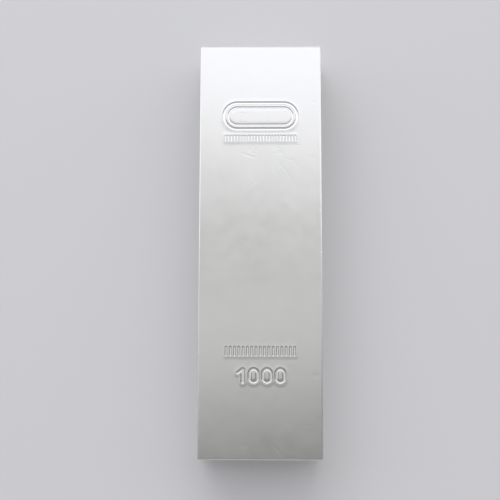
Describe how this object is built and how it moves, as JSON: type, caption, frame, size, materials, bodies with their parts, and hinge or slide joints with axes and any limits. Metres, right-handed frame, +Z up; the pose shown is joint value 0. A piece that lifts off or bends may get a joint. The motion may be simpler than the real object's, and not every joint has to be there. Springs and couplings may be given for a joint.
{
  "type": "aluminium ingot",
  "caption": "Solid rectangular ingot sawn from aluminium flat bar, with eased edges and shallow marks pressed into its upper face: a blank oval cartouche and reeded strips.",
  "frame": {"origin": "middle of the face that the ingot rests on", "axes": "+Y along the length towards the head end, which has the cartouche; +X across the width; +Z up through the thickness to the pressed face"},
  "size_m": [0.06, 0.202, 0.0306],
  "materials": {
    "aluminium": "fine satin, bare metal"
  },
  "bodies": {
    "root": {"ingot": "aluminium"}
  },
  "joints": []
}
